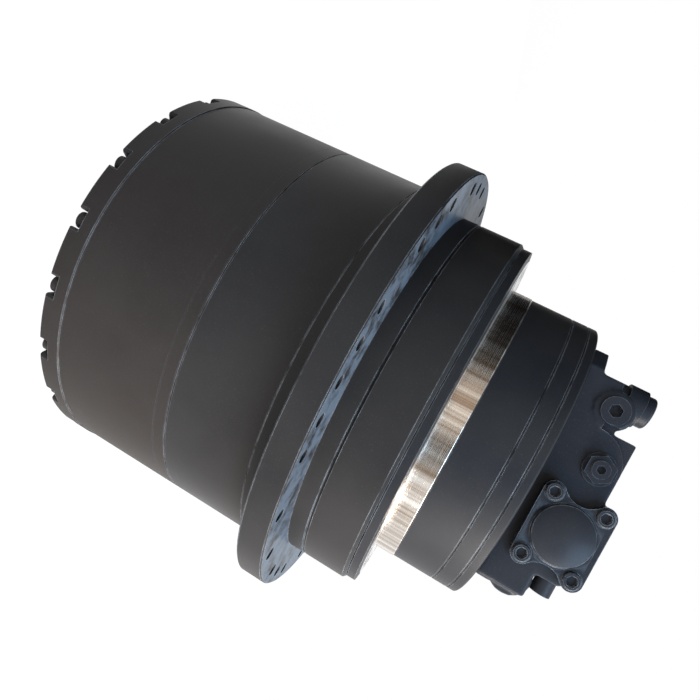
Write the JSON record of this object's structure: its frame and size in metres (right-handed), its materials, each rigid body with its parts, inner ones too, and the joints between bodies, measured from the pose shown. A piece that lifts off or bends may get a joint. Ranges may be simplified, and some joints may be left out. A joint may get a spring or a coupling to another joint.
{
  "type": "final drive",
  "caption": "Excavator final drive: hydraulic travel motor with valve block and brake, driving a flanged rotating hub through two planetary gear stages.",
  "frame": {"origin": "centre of the end cover's outer face, at the bottom of the bounding box", "axes": "+Z along the drive axis from the end cover to the motor's valve block; -Y is the side with the domed spool cap; +X completes the right hand"},
  "size_m": [0.56, 0.5598, 0.6085],
  "materials": {
    "barrel_paint": "satin warm black paint on cast iron",
    "hub_paint": "satin black paint on cast iron",
    "case_paint": "satin black paint on cast iron, turned pilot bare",
    "block_paint": "satin blue-black paint on cast iron and steel",
    "zinc_steel": "zinc plated steel",
    "black_bolt": "black oxide steel",
    "bearing_steel": "ground hardened steel",
    "machined_steel": "turned and ground steel",
    "gear_steel": "hobbed case-hardened steel",
    "friction_disc": "sintered friction faces on steel",
    "spring_steel": "oil-tempered spring wire",
    "bronze": "bearing bronze",
    "nitrile": "nitrile rubber"
  },
  "bodies": {
    "case": {"motor_case": "case_paint", "carrier_second": "gear_steel", "carrier_bolts": "black_bolt", "planet_pins_second": "machined_steel", "needles_second": "bearing_steel", "washers_second": "bronze", "bearing_inner_races": "bearing_steel", "bearing_retainer": "machined_steel", "face_seal_case": "bearing_steel", "toric_case": "nitrile", "shaft_bearings": "bearing_steel", "shaft_seal": "nitrile", "swash_pivots": "machined_steel", "valve_plate": "bronze", "brake_plates": "machined_steel", "brake_springs": "spring_steel", "rear_cover": "block_paint", "rear_cover_bolts": "block_paint", "spool_cap_front": "block_paint", "spool_cap_rear": "block_paint", "cap_screws": "block_paint", "spool_springs": "spring_steel", "relief_valves": "block_paint", "speed_plugs": "block_paint", "port_fittings": "block_paint"},
    "hub": {"end_cover": "barrel_paint", "cover_bolts": "zinc_steel", "cover_plugs": "zinc_steel", "thrust_pad": "bronze", "ring_gear": "barrel_paint", "joint_seals": "nitrile", "hub_housing": "hub_paint", "bearing_outer_races": "bearing_steel", "face_seal_hub": "bearing_steel", "toric_hub": "nitrile"},
    "first_carrier": {"carrier_first": "gear_steel", "sun_second": "gear_steel", "planet_pins_first": "machined_steel", "needles_first": "bearing_steel", "washers_first": "bronze"},
    "rotor": {"sun_first": "gear_steel", "motor_shaft": "machined_steel", "cylinder_block": "machined_steel", "pistons": "machined_steel", "brake_discs": "friction_disc"},
    "rollers_lower": {"bearing_rollers_lower": "bearing_steel"},
    "rollers_upper": {"bearing_rollers_upper": "bearing_steel"},
    "swash": {"swash_plate": "machined_steel"},
    "shoe_ring": {"shoe_retainer": "bronze"},
    "servo": {"servo_piston": "machined_steel"},
    "brake": {"brake_piston": "machined_steel"},
    "counterbalance": {"counterbalance_spool": "machined_steel"},
    "speed_valve": {"speed_spool": "machined_steel"},
    "planet_second_1": {"planet_second_1": "gear_steel"},
    "planet_second_2": {"planet_second_2": "gear_steel"},
    "planet_second_3": {"planet_second_3": "gear_steel"},
    "planet_second_4": {"planet_second_4": "gear_steel"},
    "planet_first_1": {"planet_first_1": "gear_steel"},
    "planet_first_2": {"planet_first_2": "gear_steel"},
    "planet_first_3": {"planet_first_3": "gear_steel"}
  },
  "joints": [
    {"name": "hub_spin", "type": "hinge", "parent": "case", "child": "hub", "pos_m": [0, 0, 0.3], "axis": [0, 0, 1], "continuous": true},
    {"name": "planet_second_1_spin", "type": "hinge", "parent": "case", "child": "planet_second_1", "pos_m": [0.08598, 0.08598, 0.1431], "axis": [0, 0, 1], "continuous": true},
    {"name": "planet_second_2_spin", "type": "hinge", "parent": "case", "child": "planet_second_2", "pos_m": [-0.08598, 0.08598, 0.1431], "axis": [0, 0, 1], "continuous": true},
    {"name": "planet_second_3_spin", "type": "hinge", "parent": "case", "child": "planet_second_3", "pos_m": [-0.08598, -0.08598, 0.1431], "axis": [0, 0, 1], "continuous": true},
    {"name": "planet_second_4_spin", "type": "hinge", "parent": "case", "child": "planet_second_4", "pos_m": [0.08598, -0.08598, 0.1431], "axis": [0, 0, 1], "continuous": true},
    {"name": "first_carrier_spin", "type": "hinge", "parent": "case", "child": "first_carrier", "pos_m": [0, 0, 0.13], "axis": [0, 0, 1], "continuous": true},
    {"name": "planet_first_1_spin", "type": "hinge", "parent": "first_carrier", "child": "planet_first_1", "pos_m": [0, 0.1152, 0.0627], "axis": [0, 0, 1], "continuous": true},
    {"name": "planet_first_2_spin", "type": "hinge", "parent": "first_carrier", "child": "planet_first_2", "pos_m": [-0.09977, -0.0576, 0.0627], "axis": [0, 0, 1], "continuous": true},
    {"name": "planet_first_3_spin", "type": "hinge", "parent": "first_carrier", "child": "planet_first_3", "pos_m": [0.09977, -0.0576, 0.0627], "axis": [0, 0, 1], "continuous": true},
    {"name": "motor_spin", "type": "hinge", "parent": "case", "child": "rotor", "pos_m": [0, 0, 0.45], "axis": [0, 0, 1], "continuous": true},
    {"name": "lower_rollers_spin", "type": "hinge", "parent": "case", "child": "rollers_lower", "pos_m": [0, 0, 0.228], "axis": [0, 0, 1], "continuous": true},
    {"name": "upper_rollers_spin", "type": "hinge", "parent": "case", "child": "rollers_upper", "pos_m": [0, 0, 0.326], "axis": [0, 0, 1], "continuous": true},
    {"name": "swash_tilt", "type": "hinge", "parent": "case", "child": "swash", "pos_m": [0, 0, 0.36], "axis": [1, 0, 0], "range_deg": [-8, 0]},
    {"name": "shoe_ring_spin", "type": "hinge", "parent": "swash", "child": "shoe_ring", "pos_m": [0, 0, 0.4063], "axis": [0, -0.2588, 0.9659], "continuous": true},
    {"name": "servo_stroke", "type": "slide", "parent": "case", "child": "servo", "axis": [0, 0, 1], "range_m": [-0.0001, 0.009]},
    {"name": "brake_stroke", "type": "slide", "parent": "case", "child": "brake", "axis": [0, 0, 1], "range_m": [0, 0.002], "stiffness_N_per_m": 20000, "deforming": ["brake_springs"]},
    {"name": "counterbalance_stroke", "type": "slide", "parent": "case", "child": "counterbalance", "axis": [0, 1, 0], "range_m": [-0.009, 0.009], "stiffness_N_per_m": 3000, "deforming": ["spool_springs"]},
    {"name": "speed_stroke", "type": "slide", "parent": "case", "child": "speed_valve", "axis": [0, 1, 0], "range_m": [-0.006, 0.006]}
  ],
  "couplings": [
    {"joint": "planet_second_1_spin", "follows": "hub_spin", "ratio": 2.6522},
    {"joint": "planet_second_2_spin", "follows": "hub_spin", "ratio": 2.6522},
    {"joint": "planet_second_3_spin", "follows": "hub_spin", "ratio": 2.6522},
    {"joint": "planet_second_4_spin", "follows": "hub_spin", "ratio": 2.6522},
    {"joint": "first_carrier_spin", "follows": "hub_spin", "ratio": -4.0667},
    {"joint": "planet_first_1_spin", "follows": "hub_spin", "ratio": 12.363},
    {"joint": "planet_first_2_spin", "follows": "hub_spin", "ratio": 12.363},
    {"joint": "planet_first_3_spin", "follows": "hub_spin", "ratio": 12.363},
    {"joint": "motor_spin", "follows": "hub_spin", "ratio": -32.164},
    {"joint": "lower_rollers_spin", "follows": "hub_spin", "ratio": 0.52338},
    {"joint": "upper_rollers_spin", "follows": "hub_spin", "ratio": 0.52338},
    {"joint": "shoe_ring_spin", "follows": "hub_spin", "ratio": -32.164},
    {"joint": "servo_stroke", "follows": "swash_tilt", "m_per_rad": -0.062}
  ]
}
